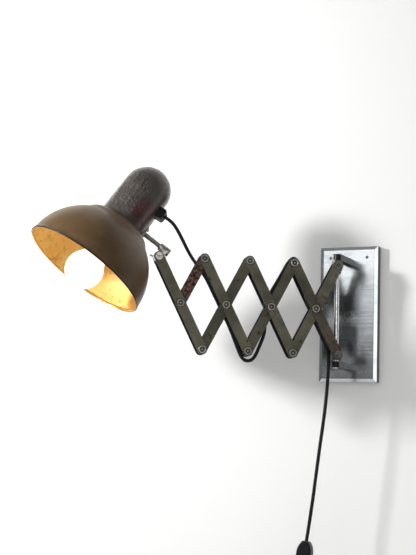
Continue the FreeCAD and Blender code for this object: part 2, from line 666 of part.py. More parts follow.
def coil_point(angle, centre):
    """Point and direction on the coil, clockwise from the right as seen from the room."""
    half = COIL_TURNS * pi
    fraction = abs(angle - half) / (2 * pi)
    radius = COIL_R - COIL_PITCH * COIL_TURNS / 4 + COIL_PITCH * fraction
    slope = COIL_PITCH / (2 * pi) * (-1 if angle < half else 1)
    climb = min(max((angle - half) / pi + 0.5, 0), 1)
    depth = -COIL_PITCH * (3 * climb ** 2 - 2 * climb ** 3)
    rate = -COIL_PITCH * 6 * climb * (1 - climb) / pi
    if abs(angle - half) < 0.01:
        slope = 0.0
    point = centre + Vector(radius * cos(angle), depth, -radius * sin(angle))
    way = Vector(slope * cos(angle) - radius * sin(angle), rate, -slope * sin(angle) - radius * cos(angle))
    return point, way.normalize()


def coil_tail():
    """Lead from the switch down into the coil, round it, and out of it to the plug."""
    start_r = COIL_R + COIL_PITCH * COIL_TURNS / 4
    entry_way = coil_point(0, ORIGIN)[1]
    entry = TAIL_BEND + entry_way * TAIL_RUN
    centre = entry - Vector(start_r, 0, 0)
    edges = bent_path([SWITCH_END, TAIL_BEND, entry], "cord_tail")
    knots = [coil_point(k * pi / 2, centre) for k in range(4 * COIL_TURNS + 1)]
    for (here, way), (there, on) in zip(knots, knots[1:]):
        edges += biarc(here, way, there, on)
    end, way = knots[-1]
    edges.append(straight(end, end + way * PLUG_RUN))
    return edges, centre, end + way * PLUG_RUN, way


def least_gap(edges, step=2.0, skip=25.0):
    """Least distance between turns, measured on points along the path, less the diameter."""
    points = []
    walked = 0.0
    for edge in edges:
        count = max(int(edge.Length / step), 1)
        for i in range(count):
            t = edge.FirstParameter + (edge.LastParameter - edge.FirstParameter) * i / count
            points.append((walked + edge.Length * i / count, edge.valueAt(t)))
        walked += edge.Length
    least = min((p.distanceToPoint(q) for i, (s, p) in enumerate(points) for t, q in points[i + 1:]
                 if t - s > skip))
    return least - 2 * CORD_R


def hanging(start, way):
    """Frame of a piece on the lead: origin at its upper end, -Z down the lead, -Y into the room."""
    lean = degrees(atan2(way.x, -way.z))
    return Placement(start, Rotation(Y, -lean))


def switch_outline():
    """Long housing that narrows to the cord at both ends."""
    w, neck, end = SWITCH_W / 2, 4.8, SWITCH_L
    right = [(neck, 0), (w - 2.5, -7, "mid"), (w, -17), (w, 17 - end), (w - 2.5, 7 - end, "mid"), (neck, -end)]
    left = [(-p[0],) + p[1:] for p in reversed(right)]
    return right + left


def switch_shell(front):
    depth = -SWITCH_HALF_T if front else SWITCH_HALF_T
    shell = face(switch_outline(), lambda x, z: Vector(x, 0, z)).extrude(Vector(0, depth, 0))
    rim = [e for e in shell.Edges if all(abs(v.Y - depth) < 0.01 for v in e.Vertexes)]
    shell = shell.makeChamfer(2.2, rim)
    return shell


def make_switch(frame):
    middle = -SWITCH_L / 2
    w, l = ROCKER_W / 2 + ROCKER_GAP, ROCKER_L / 2 + ROCKER_END_GAP
    window = box(-w, w, -SWITCH_HALF_T - 1, -2, middle - l, middle + l)
    keep("switch_front", frame, switch_shell(True).cut(window))
    keep("switch_back", frame, switch_shell(False))
    half = ROCKER_L / 2
    top = -SWITCH_HALF_T
    low = ROCKER_PIVOT_Y
    outline = [(low, -half), (top + 0.6, -half), (top + 0.4, 0), (top - 1.8, half), (low, half),
               (low + 1.6, 0, "mid")]
    rocker = face(outline, lambda y, z: Vector(-ROCKER_W / 2, y, z + middle)).extrude(Vector(ROCKER_W, 0, 0))
    hub = along_x(rod(ROCKER_HUB_R, -ROCKER_W / 2, ROCKER_W / 2), Vector(0, ROCKER_PIVOT_Y, middle))
    keep("switch_rocker", frame, rocker.fuse(hub))


def make_plug(frame):
    """Flat two-pin plug that narrows to a tapered tail."""
    w, neck, top, low = PLUG_W / 2, 7.0, -PLUG_TAIL, -PLUG_TAIL - PLUG_L
    outline = [(-neck, top), (1.5 - w, top - 8, "mid"), (-w, top - 16), (-w, low + 4), (2 - w, low),
               (w - 2, low), (w, low + 4), (w, top - 16), (w - 1.5, top - 8, "mid"), (neck, top)]
    body = face(outline, lambda x, z: Vector(x, -PLUG_T / 2, z)).extrude(Vector(0, PLUG_T, 0))
    tail_r = PLUG_T / 2 - 0.6
    tail = turned([(0, top - 4), (tail_r, top - 4), (tail_r, top), (CORD_R + 1, 0), (0, 0)])
    keep("plug_body", frame, body.fuse(tail))
    tip = low - PIN_L
    pin = turned([(0, low), (PIN_R, low), (PIN_R, tip + 1), (PIN_R - 1, tip), (0, tip)])
    keep("plug_pins", frame, *[moved(pin, Vector(x, 0, 0)) for x in (-PIN_SPACING / 2, PIN_SPACING / 2)])


def make_tie(centre):
    """Flat band round the bundle of turns, at the top of the coil."""
    half_r = COIL_PITCH * COIL_TURNS / 4 + CORD_R + 0.6
    half_y = COIL_PITCH / 2 + CORD_R + 0.3
    bundle = Vector(0, -COIL_PITCH / 2, COIL_R)
    outer = box(-TIE_W / 2, TIE_W / 2, -half_y - TIE_T, half_y + TIE_T, -half_r - TIE_T, half_r + TIE_T)
    inner = box(-TIE_W, TIE_W, -half_y, half_y, -half_r, half_r)
    keep("coil_tie", ROOM, moved(outer.cut(inner), centre + bundle))


def make_cord():
    routes = {"arm_cord_lamp": FALL + [MEET_1], "arm_cord_middle": [MEET_1] + LOOP + [MEET_2],
              "arm_cord_wall": [MEET_2] + CLIMB + [EXIT]}
    for name, route in routes.items():
        keep(name, ARM, tube(bent_path(route, name), name))
    keep("cord_drop", ROOM, tube(bent_path(DROP, "cord_drop"), "cord_drop"))
    make_switch(hanging(DROP[-1], SWITCH_WAY))
    edges, centre, end, way = coil_tail()
    keep("cord_tail", ROOM, tube(edges, "cord_tail"))
    print("cord_tail: least gap between turns %.2f mm" % least_gap(edges))
    make_tie(centre)
    make_plug(hanging(end, way))


# ---------------------------------------------------------------- build
make_bracket()
make_blocks()
make_links()
make_pivots()
make_tilt_joint()
make_head()
make_cord()

os.makedirs("parts", exist_ok=True)
for name, shape in parts.items():
    shape.exportStep("parts/%s.step" % name)
print("%d nodes" % len(parts))
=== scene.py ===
import json
from math import acos, asin, cos, hypot, pi, radians, sin

import bpy
from mathutils import Matrix, Vector, noise


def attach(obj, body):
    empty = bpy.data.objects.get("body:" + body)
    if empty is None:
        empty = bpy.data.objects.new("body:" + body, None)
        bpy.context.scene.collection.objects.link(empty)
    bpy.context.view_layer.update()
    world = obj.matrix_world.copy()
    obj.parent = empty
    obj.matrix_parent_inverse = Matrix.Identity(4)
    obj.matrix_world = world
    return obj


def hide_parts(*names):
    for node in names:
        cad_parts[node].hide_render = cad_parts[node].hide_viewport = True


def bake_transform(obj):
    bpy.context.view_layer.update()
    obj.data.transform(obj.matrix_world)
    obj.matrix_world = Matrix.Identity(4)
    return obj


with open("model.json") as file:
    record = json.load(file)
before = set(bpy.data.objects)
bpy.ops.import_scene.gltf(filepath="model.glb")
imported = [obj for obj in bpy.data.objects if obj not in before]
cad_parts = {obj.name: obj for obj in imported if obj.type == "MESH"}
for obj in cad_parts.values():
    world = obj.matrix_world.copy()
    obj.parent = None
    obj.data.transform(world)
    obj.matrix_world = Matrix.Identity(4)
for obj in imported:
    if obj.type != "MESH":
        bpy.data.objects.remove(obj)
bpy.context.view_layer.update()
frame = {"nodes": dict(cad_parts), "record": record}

# Accordion wall lamp, in metres. +Z is up, -Y is into the room, and the wall is the plane y = 0.

NODES = frame["nodes"]
BODY_OF = {node: body for body, nodes in frame["record"]["behaviour"]["bodies"].items() for node in nodes}

# ---------------------------------------------------------------- sizes that the frame doesn't give
LINK = 0.160
FOLD = radians(63.2)
SWING = radians(57.0)
ROD_OUT = 0.076
STACK = 0.01110            # from the middle of the arm to the face of its outer strips
RIVET_HEAD_R = 0.0061
RIVET_R = 0.003
RIVET_CUP_R = 0.0042
RIVET_SHADOW_R = 0.0071       # painted shadow ring round a rivet head
SLEEVE_R = 0.005
SLEEVE_HALF = 0.0067

STEM_ANGLE = radians(35.56)
HEAD_TURN = radians(7.02)
STEM_RISE = 0.015
STEM_REACH = 0.0785
STEM_LEVEL = 0.10492
SHADE_R = 0.1005
SHADE_DROP = 0.0014
SHADE_WALL = 0.0012
SHADE_TOP_R = 0.059
COLLAR_TOP = (0.056, 0.08407)
NECK = (0.0396, 0.09377)
NECK_HOLE_R = 0.0198
CAP_R = 0.0385
HEAD_LENGTH = 0.2022
GLAND_OUT = 0.051
GLAND_LEVEL = 0.142
GLAND_AZIMUTH = radians(160)

CORD_R = 0.00275
SWITCH_L = 0.062
COIL_R = 0.033
COIL_TURNS = 4
COIL_PITCH = 0.006

COLUMN = LINK * cos(FOLD)
HALF_H = LINK * sin(FOLD) / 2
TOP = [Vector((COLUMN * (4 - i), 0, HALF_H)) for i in range(5)]
BOTTOM = [Vector((p.x, 0, -HALF_H)) for p in TOP]
MID = [None] + [Vector((COLUMN * (4.5 - i), 0, 0)) for i in range(1, 5)]

# the arm's frame has X outward, Y to its front and Z up; the head's has Z from the mouth up its axis
ARM = Matrix.Translation((0, -ROD_OUT, 0)) @ Matrix.Rotation(-(pi / 2 + SWING), 4, "Z")
TILT = ARM @ Matrix.Translation(TOP[0]) @ Matrix.Rotation(-STEM_ANGLE, 4, "Y")
HEAD = TILT @ Matrix.Translation((STEM_REACH, 0, STEM_RISE)) @ Matrix.Rotation(HEAD_TURN, 4, "X")
HEAD = HEAD @ Matrix.Translation((0, 0, -STEM_LEVEL))


# ---------------------------------------------------------------- camera
CAMERA_AT = Vector((0.65496, -2.04294, -0.21304))
CAMERA_RIGHT = Vector((0.91370, 0.40542, 0.02805))
CAMERA_UP = Vector((0.02527, -0.12558, 0.99176))
CAMERA_LENS = 112.5        # mm, on a sensor 36 mm wide


def make_camera():
    data = bpy.data.cameras.new("camera")
    data.lens = CAMERA_LENS
    data.sensor_width = 36.0
    data.sensor_fit = "HORIZONTAL"
    camera = bpy.data.objects.new("camera", data)
    bpy.context.scene.collection.objects.link(camera)
    back = CAMERA_RIGHT.cross(CAMERA_UP)
    turn = Matrix((CAMERA_RIGHT, CAMERA_UP, back)).transposed().to_4x4()
    camera.matrix_world = Matrix.Translation(CAMERA_AT) @ turn
    bpy.context.scene.camera = camera


make_camera()


# ---------------------------------------------------------------- materials
NEAR_CORE = 0.25           # share of a patch's reach over which it is at its full strength


def math_node(tree, operation, *values):
    """Output of a math node; each value is a socket to link or a number."""
    node = tree.nodes.new("ShaderNodeMath")
    node.operation = operation
    for socket, value in zip(node.inputs, values):
        if isinstance(value, (int, float)):
            socket.default_value = value
        else:
            tree.links.new(value, socket)
    return node.outputs["Value"]


def smooth_step(tree, value, low, high, out_low=0.0, out_high=1.0):
    """Smooth step from out_low at low to out_high at high."""
    node = tree.nodes.new("ShaderNodeMapRange")
    node.interpolation_type = "SMOOTHSTEP"
    ends = {"From Min": low, "From Max": high, "To Min": out_low, "To Max": out_high}
    for socket, number in ends.items():
        node.inputs[socket].default_value = number
    tree.links.new(value, node.inputs["Value"])
    return node.outputs["Result"]


class Surface:
    """A Principled material that is wired by its methods, in the part's own coordinates."""

    def __init__(self, name, colour, roughness, metallic=0.0, **sockets):
        self.material = bpy.data.materials.new(name)
        self.material.use_nodes = True
        self.tree = self.material.node_tree
        self.shader = self.tree.nodes["Principled BSDF"]
        self.shader.inputs["Base Color"].default_value = (*colour, 1)
        self.shader.inputs["Roughness"].default_value = roughness
        self.shader.inputs["Metallic"].default_value = metallic
        for socket, value in sockets.items():
            self.shader.inputs[socket.replace("_", " ")].default_value = value
        coordinates = self.tree.nodes.new("ShaderNodeTexCoord")
        self.place = coordinates.outputs["Object"]
        self.normal = coordinates.outputs["Normal"]

    def link(self, source, target):
        self.tree.links.new(source, target)

    def stretched(self, stretch, turn=(0, 0, 0)):
        """The part's coordinates, turned and then scaled along each axis."""
        turned = self.tree.nodes.new("ShaderNodeMapping")
        turned.inputs["Rotation"].default_value = turn
        self.link(self.place, turned.inputs["Vector"])
        scaled = self.tree.nodes.new("ShaderNodeMapping")
        scaled.inputs["Scale"].default_value = stretch
        self.link(turned.outputs["Vector"], scaled.inputs["Vector"])
        return scaled.outputs["Vector"]

    def noise(self, scale, detail=4.0, place=None, distortion=0.0):
        node = self.tree.nodes.new("ShaderNodeTexNoise")
        node.inputs["Scale"].default_value = scale
        node.inputs["Detail"].default_value = detail
        node.inputs["Distortion"].default_value = distortion
        self.link(place or self.place, node.inputs["Vector"])
        return node.outputs["Fac"]

    def facing(self, way, low=0.55, high=0.75):
        """1 on faces that look along a direction of the part, 0 on those that look elsewhere."""
        dot = self.tree.nodes.new("ShaderNodeVectorMath")
        dot.operation = "DOT_PRODUCT"
        dot.inputs[1].default_value = way
        self.link(self.normal, dot.inputs[0])
        return self.step(dot.outputs["Value"], low, high)

    def step(self, value, low, high, out_low=0.0, out_high=1.0):
        return smooth_step(self.tree, value, low, high, out_low, out_high)

    def math(self, operation, first, second):
        return math_node(self.tree, operation, first, second)

    def near(self, point, reach):
        """1 at a point of the part, falling to 0 at a distance from it."""
        node = self.tree.nodes.new("ShaderNodeVectorMath")
        node.operation = "DISTANCE"
        node.inputs[1].default_value = point
        self.link(self.place, node.inputs[0])
        return self.step(node.outputs["Value"], NEAR_CORE * reach, reach, 1.0, 0.0)

    def mix(self, factor, first, second):
        node = self.tree.nodes.new("ShaderNodeMix")
        node.data_type = "RGBA"
        # the sockets of the node's other data types have the same names, and are off
        share, *colours = [socket for socket in node.inputs if socket.enabled]
        self.link(factor, share)
        for socket, colour in zip(colours, (first, second)):
            if isinstance(colour, tuple):
                socket.default_value = (*colour, 1)
            else:
                self.link(colour, socket)
        return next(socket for socket in node.outputs if socket.enabled)

    def colour(self, source):
        self.link(source, self.shader.inputs["Base Color"])
        return self

    def roughness(self, source):
        self.link(source, self.shader.inputs["Roughness"])
        return self

    def bump(self, height, distance, strength=1.0):
        node = self.tree.nodes.new("ShaderNodeBump")
        node.inputs["Strength"].default_value = strength
        node.inputs["Distance"].default_value = distance
        self.link(height, node.inputs["Height"])
        before = self.shader.inputs["Normal"].links
        if before:
            self.link(before[0].from_socket, node.inputs["Normal"])
        self.link(node.outputs["Normal"], self.shader.inputs["Normal"])
        return self


ROOM = (0, -1, 0)          # the way the wall plate faces
ARM_FRONT = tuple(ARM.to_3x3() @ Vector((0, 1, 0)))
TO_HEAD = tuple(HEAD.to_3x3().inverted().to_euler())       # turns the part's axes to the head's
BURN_AT = tuple(HEAD @ Vector((-0.022, 0.036, 0.117)))
WRINKLES_AT = tuple(HEAD @ Vector((0.020, 0.036, 0.140)))
RUST_AT_LAMP = tuple(ARM @ (TOP[1] * 0.55 + MID[1] * 0.45))
RUST_AT_WALL = tuple(ARM @ (TOP[4] * 0.5 + MID[4] * 0.5))
RUST_AT_FOOT = tuple(ARM @ BOTTOM[4])


def brushed_plate():
    """Bright steel brushed from side to side, with finger marks; its edges carry painted shade, near black."""
    coat = Surface("plate_steel", (0.66, 0.69, 0.72), 0.2, 1.0)
    brushing = coat.noise(1.0, 6, coat.stretched((5, 1100, 1100)))
    marks = coat.noise(22, 5, distortion=0.6)
    smear = coat.noise(1.0, 3, coat.stretched((14, 14, 60)))
    steel = coat.mix(coat.step(brushing, 0.25, 0.75), (0.62, 0.65, 0.68), (0.76, 0.79, 0.82))
    steel = coat.mix(coat.step(smear, 0.50, 0.72, 0.0, 0.45), steel, (0.48, 0.53, 0.54))
    # painted shade: faces that don't look into the room are near black
    coat.colour(coat.mix(coat.facing(ROOM, 0.35, 0.6), (0.035, 0.040, 0.042), steel))
    greasy = coat.step(marks, 0.35, 0.7, 0.13, 0.25)
    coat.roughness(coat.math("ADD", greasy, coat.step(brushing, 0.3, 0.7, 0.0, 0.04)))
    return coat.bump(brushing, 0.00002, 0.5)


def worn_strip(name, tone=1.0, rust_at=None, reach=0.06, rust_amount=0.5):
    """Olive satin paint on a strip's face, dusty, rubbed and chipped; painted shade, near black, on its edges
    and back.
    """
    coat = Surface(name, (0.126, 0.121, 0.085), 0.5, Specular_IOR_Level=0.3)
    cloud = coat.noise(30, 5)
    grain = coat.noise(900, 3)
    streak = coat.noise(1.0, 4, coat.stretched((60, 60, 700), (0, 0, SWING)))
    dark, light, dust, rub = (tuple(tone * c for c in colour) for colour in (
        (0.102, 0.100, 0.068), (0.205, 0.189, 0.132), (0.309, 0.294, 0.214), (0.364, 0.350, 0.272)))
    paint = coat.mix(coat.step(cloud, 0.28, 0.72), dark, light)
    paint = coat.mix(coat.step(grain, 0.60, 0.78, 0.0, 0.7), paint, dust)
    paint = coat.mix(coat.step(streak, 0.64, 0.8, 0.0, 0.5), paint, rub)
    chips = coat.step(coat.noise(80, 6, distortion=0.4), 0.655, 0.70)
    paint = coat.mix(coat.math("MULTIPLY", chips, 0.75), paint, (0.020, 0.015, 0.011))
    if rust_at:
        bare = coat.step(coat.noise(60, 6, distortion=0.8), 0.92 - rust_amount, 1.1 - rust_amount)
        bare = coat.math("MULTIPLY", bare, coat.near(rust_at, reach))
        flakes = coat.step(coat.noise(240, 5, distortion=0.6), 0.42, 0.60)
        rust = coat.mix(flakes, (0.020, 0.010, 0.009), (0.237, 0.114, 0.085))
        paint = coat.mix(bare, paint, rust)
        coat.bump(bare, 0.00008, 0.5)
    # painted shade: faces that don't look to the arm's front are near black
    coat.colour(coat.mix(coat.facing(ARM_FRONT), (0.006, 0.005, 0.006), paint))
    coat.roughness(coat.step(cloud, 0.3, 0.7, 0.42, 0.58))
    return coat.bump(grain, 0.00005, 0.3)


def nickel(name, colour, rough, grime=0.35, scale=240, dark=0.3):
    """Plated metal with a film of dirt in patches."""
    coat = Surface(name, colour, rough, 1.0)
    film = coat.noise(scale, 5, distortion=0.5)
    dirty = tuple(dark * c for c in colour)
    coat.colour(coat.mix(coat.step(film, 0.42, 0.66, 0.0, grime), colour, dirty))
    coat.roughness(coat.step(film, 0.35, 0.7, rough, rough + 0.16))
    return coat.bump(coat.noise(1400, 3), 0.00002, 0.4)


def black_finish(name, colour, rough, grain=900, depth=0.00004):
    """Black paint or moulding with a fine grain and a little dust."""
    coat = Surface(name, colour, rough, Specular_IOR_Level=0.3)
    dust = coat.noise(70, 5)
    pale = tuple(c + 0.020 for c in colour)
    coat.colour(coat.mix(coat.step(dust, 0.52, 0.80, 0.0, 0.5), colour, pale))
    coat.roughness(coat.step(dust, 0.3, 0.75, rough, rough + 0.14))
    return coat.bump(coat.noise(grain, 3), depth, 0.4)


def shade_outside():
    """Dark bronze lacquer with a cloudy satin sheen and fine rubbed lines round it."""
    coat = Surface("shade_bronze", (0.117, 0.070, 0.029), 0.42, Specular_IOR_Level=0.3,
                   Coat_Weight=0.12, Coat_Roughness=0.34)
    lines = coat.noise(1.0, 5, coat.stretched((14, 14, 620), TO_HEAD))
    cloud = coat.noise(13, 5, distortion=0.5)
    paint = coat.mix(coat.step(cloud, 0.3, 0.7), (0.084, 0.048, 0.019), (0.134, 0.080, 0.035))
    paint = coat.mix(coat.step(lines, 0.52, 0.75, 0.0, 0.28), paint, (0.191, 0.122, 0.059))
    stains = coat.step(coat.noise(60, 6, distortion=0.6), 0.62, 0.74, 0.0, 0.5)
    paint = coat.mix(stains, paint, (0.049, 0.023, 0.010))
    coat.colour(paint)
    coat.roughness(coat.step(cloud, 0.3, 0.75, 0.34, 0.50))
    return coat.bump(lines, 0.00003, 0.35)


def shade_inside():
    """Gold paint, dimpled and mottled, warm in the lamp's light."""
    coat = Surface("shade_gold", (0.855, 0.507, 0.132), 0.55, 0.1)
    mottle = coat.noise(105, 6, distortion=0.9)
    cloud = coat.noise(22, 4)
    paint = coat.mix(coat.step(cloud, 0.3, 0.7), (0.834, 0.463, 0.105), (0.905, 0.617, 0.182))
    coat.colour(coat.mix(coat.step(mottle, 0.54, 0.68, 0.0, 0.65), paint, (0.521, 0.243, 0.049)))
    return coat.bump(mottle, 0.0007, 0.45)


def cap_lacquer():
    """Thick glossy dark lacquer, with a red-brown burn near its foot."""
    coat = Surface("cap_lacquer", (0.073, 0.061, 0.054), 0.30, Specular_IOR_Level=0.4,
                   Coat_Weight=0.4, Coat_Roughness=0.10)
    cloud = coat.noise(26, 4)
    burn = coat.near(BURN_AT, 0.034)
    paint = coat.mix(coat.step(cloud, 0.3, 0.7), (0.053, 0.044, 0.038), (0.097, 0.083, 0.072))
    burn = coat.math("MULTIPLY", burn, coat.step(cloud, 0.30, 0.55, 0.4, 1.0))
    paint = coat.mix(burn, paint, (0.104, 0.019, 0.019))
    coat.colour(paint)
    coat.roughness(coat.step(coat.noise(60, 5), 0.35, 0.65, 0.24, 0.38))
    runs = coat.noise(1.0, 4, coat.stretched((170, 170, 40), TO_HEAD), distortion=1.4)
    wrinkled = coat.near(WRINKLES_AT, 0.052)
    coat.bump(coat.math("MULTIPLY", coat.step(runs, 0.42, 0.60), wrinkled), 0.0014, 0.9)
    return coat.bump(coat.noise(260, 3), 0.00008, 0.35)


def opal_glass():
    """Opal lamp glass, lit."""
    coat = Surface("bulb_opal", (0.95, 0.93, 0.88), 0.18, Emission_Strength=1.2)
    coat.shader.inputs["Emission Color"].default_value = (1.0, 0.93, 0.80, 1)
    veil = coat.noise(60, 3)
    return coat.colour(coat.mix(coat.step(veil, 0.3, 0.7), (0.93, 0.90, 0.84), (0.98, 0.97, 0.94)))


FINISH = {
    "plate": brushed_plate(),
    "strip_a": worn_strip("strip_paint_outer"),
    "strip_b": worn_strip("strip_paint_inner", 0.72),
    # painted shade: the back strips are near black all over
    "strip_back_painted_shade": black_finish("strip_painted_shade_back", (0.006, 0.006, 0.006), 0.45, 900, 0.00005),
    "strip_b0": worn_strip("strip_rusted_lamp", 0.72, RUST_AT_LAMP, 0.062, 0.66),
    "strip_b3": worn_strip("strip_rusted_wall", 0.9, RUST_AT_WALL, 0.040, 0.42),
    "strip_a3": worn_strip("strip_rusted_foot", 0.62, RUST_AT_FOOT, 0.055, 0.42),
    "lug": black_finish("lug_black", (0.006, 0.0065, 0.007), 0.30),
    "rod": nickel("rod_chrome", (0.80, 0.80, 0.82), 0.10, 0.3),
    "screw": nickel("screw_steel", (0.20, 0.19, 0.18), 0.34, 0.8),
    "block": nickel("block_steel", (0.16, 0.155, 0.145), 0.40, 0.6),
    "rivet": nickel("rivet_nickel", (0.50, 0.48, 0.44), 0.28, 0.55),
    # painted shadow round each rivet head, and painted shade with some grime in its cup
    "cup": black_finish("rivet_shade_and_grime", (0.018, 0.014, 0.011), 0.5),
    "joint": nickel("joint_nickel", (0.50, 0.48, 0.45), 0.16, 0.75, 130, 0.12),
    "stem": nickel("stem_nickel", (0.30, 0.27, 0.235), 0.30, 0.5),
    "bronze": shade_outside(),
    "gold": shade_inside(),
    "cap": cap_lacquer(),
    # painted shade on the bead's outer half, and a painted highlight in brighter gold on its inner half
    "rim": black_finish("rim_painted_shade", (0.016, 0.011, 0.008), 0.34),
    "lip": nickel("rim_painted_highlight", (0.95, 0.66, 0.26), 0.24, 0.3),
    "holder": black_finish("holder_black", (0.014, 0.014, 0.014), 0.25, 400),
    "bulb": opal_glass(),
    "bulb_cap": nickel("bulb_cap_metal", (0.74, 0.70, 0.58), 0.30, 0.3),
    "gland": black_finish("gland_black", (0.005, 0.005, 0.0055), 0.36, 1200),
    "cord": black_finish("cord_black", (0.006, 0.006, 0.007), 0.36, 700, 0.00006),
    "switch": black_finish("switch_black", (0.009, 0.009, 0.011), 0.30, 1500),
    "plug": black_finish("plug_black", (0.012, 0.012, 0.013), 0.42, 1300),
    "pin": nickel("pin_metal", (0.66, 0.62, 0.50), 0.24, 0.3),
    "tie": black_finish("tie_black", (0.018, 0.018, 0.018), 0.55, 800),
}


def finish(piece, *names):
    """Give an object these finishes, in the order of its faces' material indices."""
    materials = piece.data.materials
    if len(materials):
        materials.clear()
    for name in names:
        materials.append(FINISH[name].material)


# ---------------------------------------------------------------- making pieces
def add_mesh(name, points, faces, indices=None, smooth=radians(35)):
    mesh = bpy.data.meshes.new(name)
    mesh.from_pydata([tuple(p) for p in points], [], faces)
    if indices:
        mesh.polygons.foreach_set("material_index", indices)
    mesh.shade_smooth()
    mesh.set_sharp_from_angle(angle=smooth)
    mesh.update()
    piece = bpy.data.objects.new(name, mesh)
    bpy.context.scene.collection.objects.link(piece)
    return piece


def spun(profile, place, steps, bands=None, relief=None):
    """Points and faces of a profile in radius and height, turned about Z; radius 0 is one point.

    bands gives each row of faces its material, and relief(row, angle) what a point stands out.
    """
    points, faces, indices, rows = [], [], [], []
    for row, (radius, height) in enumerate(profile):
        if radius == 0:
            rows.append([len(points)] * steps)
            points.append(place @ Vector((0, 0, height)))
            continue
        rows.append(list(range(len(points), len(points) + steps)))
        for k in range(steps):
            angle = 2 * pi * k / steps
            out = radius + (relief(row, angle) if relief else 0)
            points.append(place @ Vector((out * cos(angle), out * sin(angle), height)))
    for row, (low, high) in enumerate(zip(rows, rows[1:])):
        for k in range(steps):
            on = (k + 1) % steps
            corners = [low[k], low[on], high[on], high[k]]
            corners = [c for i, c in enumerate(corners) if c not in corners[:i]]
            faces.append(corners)
            indices.append(bands[row] if bands else 0)
    return points, faces, indices


def joined(*lumps):
    """Several lists of points, faces and indices as one."""
    points, faces, indices = [], [], []
    for more_points, more_faces, more_indices in lumps:
        base = len(points)
        points += more_points
        faces += [[base + c for c in face] for face in more_faces]
        indices += more_indices
    return points, faces, indices


def softened(node, width):
    """Small rounding on a CAD node's edges."""
    bevel = NODES[node].modifiers.new("soft edges", "BEVEL")
    bevel.width = width
    bevel.segments = 2
    bevel.limit_method = "ANGLE"
    bevel.angle_limit = radians(40)
    bevel.harden_normals = True


# ---------------------------------------------------------------- cords
def beside(start, end, share, off, depth=0.0):
    """Point beside a link: a share of the way along it, and off to one side."""
    way = end - start
    side = Vector((-way.z, 0, way.x)).normalized()
    return start + way * share + side * off + Vector((0, depth, 0))


def around(pivot, angle, distance):
    return pivot + Vector((cos(radians(angle)), 0, sin(radians(angle)))) * distance


def gland_mouth(distance):
    way = Vector((cos(GLAND_AZIMUTH), sin(GLAND_AZIMUTH), 0))
    return ARM.inverted() @ HEAD @ (Vector((0, 0, GLAND_LEVEL)) + way * (GLAND_OUT + distance))


A1, B2, A3 = (TOP[1], BOTTOM[2]), (BOTTOM[2], TOP[3]), (TOP[3], BOTTOM[4])
FALL = [gland_mouth(0), gland_mouth(0.012), beside(*A1, -0.38, 0.0222, 0.0175),
        beside(*A1, -0.28, 0.0210, 0.0155), beside(*A1, -0.18, 0.0199, 0.0115),
        beside(*A1, -0.08, 0.0182, 0.0065), beside(*A1, 0.02, 0.0145, 0.0020),
        beside(*A1, 0.12, 0.0108), beside(*A1, 0.22, 0.0088)]
LOOP = [beside(*A1, 0.35, 0.0092), beside(*A1, 0.53, 0.0085), beside(*A1, 0.70, 0.0082),
        beside(*A1, 0.86, 0.0098), BOTTOM[2] + Vector((0.0082, 0, -0.0108)),
        BOTTOM[2] + Vector((-0.0015, 0, -0.0156)), BOTTOM[2] + Vector((-0.0122, 0, -0.0112)),
        beside(*B2, 0.12, 0.0140)]
CLIMB = [beside(*B2, 0.26, 0.0115), beside(*B2, 0.39, -0.0010), beside(*B2, 0.50, -0.0099),
         beside(*B2, 0.63, -0.0104), beside(*B2, 0.80, -0.0086), around(TOP[3], 62, 0.0104),
         around(TOP[3], 132, 0.0104), beside(*A3, 0.16, -0.0050), beside(*A3, 0.33, 0.0030),
         beside(*A3, 0.50, 0.0090), beside(*A3, 0.67, 0.0084), beside(*A3, 0.84, 0.0086)]
EXIT = Vector((0.0156, 0, -0.062))
EXIT_WAY = (EXIT - CLIMB[-1]).normalized()
DROP = [ARM @ EXIT, ARM @ (EXIT + EXIT_WAY * 0.012), Vector((-0.0099, -0.0826, -0.097)),
        Vector((-0.0114, -0.083, -0.128)), Vector((-0.0150, -0.083, -0.166)),
        Vector((-0.0210, -0.083, -0.211)), Vector((-0.0266, -0.083, -0.256)),
        Vector((-0.0323, -0.083, -0.303)), Vector((-0.0386, -0.083, -0.347)),
        Vector((-0.0411, -0.083, -0.364))]
SWITCH_WAY = (DROP[-1] - DROP[-2]).normalized()
SWITCH_END = DROP[-1] + SWITCH_WAY * SWITCH_L
TAIL_BEND = SWITCH_END + SWITCH_WAY * 0.027
TAIL_RUN = 0.028
PLUG_RUN = 0.027
TURN_POINTS = 16
A_LITTLE = 0.01            # turn over which the coil's direction is taken, in radians
LEAD_STEPS = 8
HELD_STEPS = 12
SECTION_POINTS = 14


def coil_point(angle, centre):
    """Point of the coil, two turns in towards its middle and two out again, 6 mm nearer the room."""
    half = COIL_TURNS * pi
    radius = COIL_R - COIL_PITCH * COIL_TURNS / 4 + COIL_PITCH * abs(angle - half) / (2 * pi)
    climb = min(max((angle - half) / pi + 0.5, 0), 1)
    depth = -COIL_PITCH * (3 * climb ** 2 - 2 * climb ** 3)
    # a spline with these points as its control points runs a little inside them
    outside = 2 / (1 + cos(pi / TURN_POINTS) ** 2)
    radius *= outside
    return centre + Vector((radius * cos(angle), depth, -radius * sin(angle)))


def tail_route():
    start_r = COIL_R + COIL_PITCH * COIL_TURNS / 4
    entry_way = (coil_point(A_LITTLE, Vector()) - coil_point(0, Vector())).normalized()
    entry = TAIL_BEND + entry_way * TAIL_RUN
    centre = entry - Vector((start_r, 0, 0))
    count = TURN_POINTS * COIL_TURNS
    turns = [coil_point(2 * pi * (k + 0.5) / TURN_POINTS, centre) for k in range(count)]
    last = coil_point(2 * pi * COIL_TURNS, centre)
    way = (last - coil_point(2 * pi * COIL_TURNS - A_LITTLE, centre)).normalized()
    end = centre + Vector((start_r, -COIL_PITCH, 0)) + way * PLUG_RUN
    return [SWITCH_END, TAIL_BEND, entry] + turns + [end]


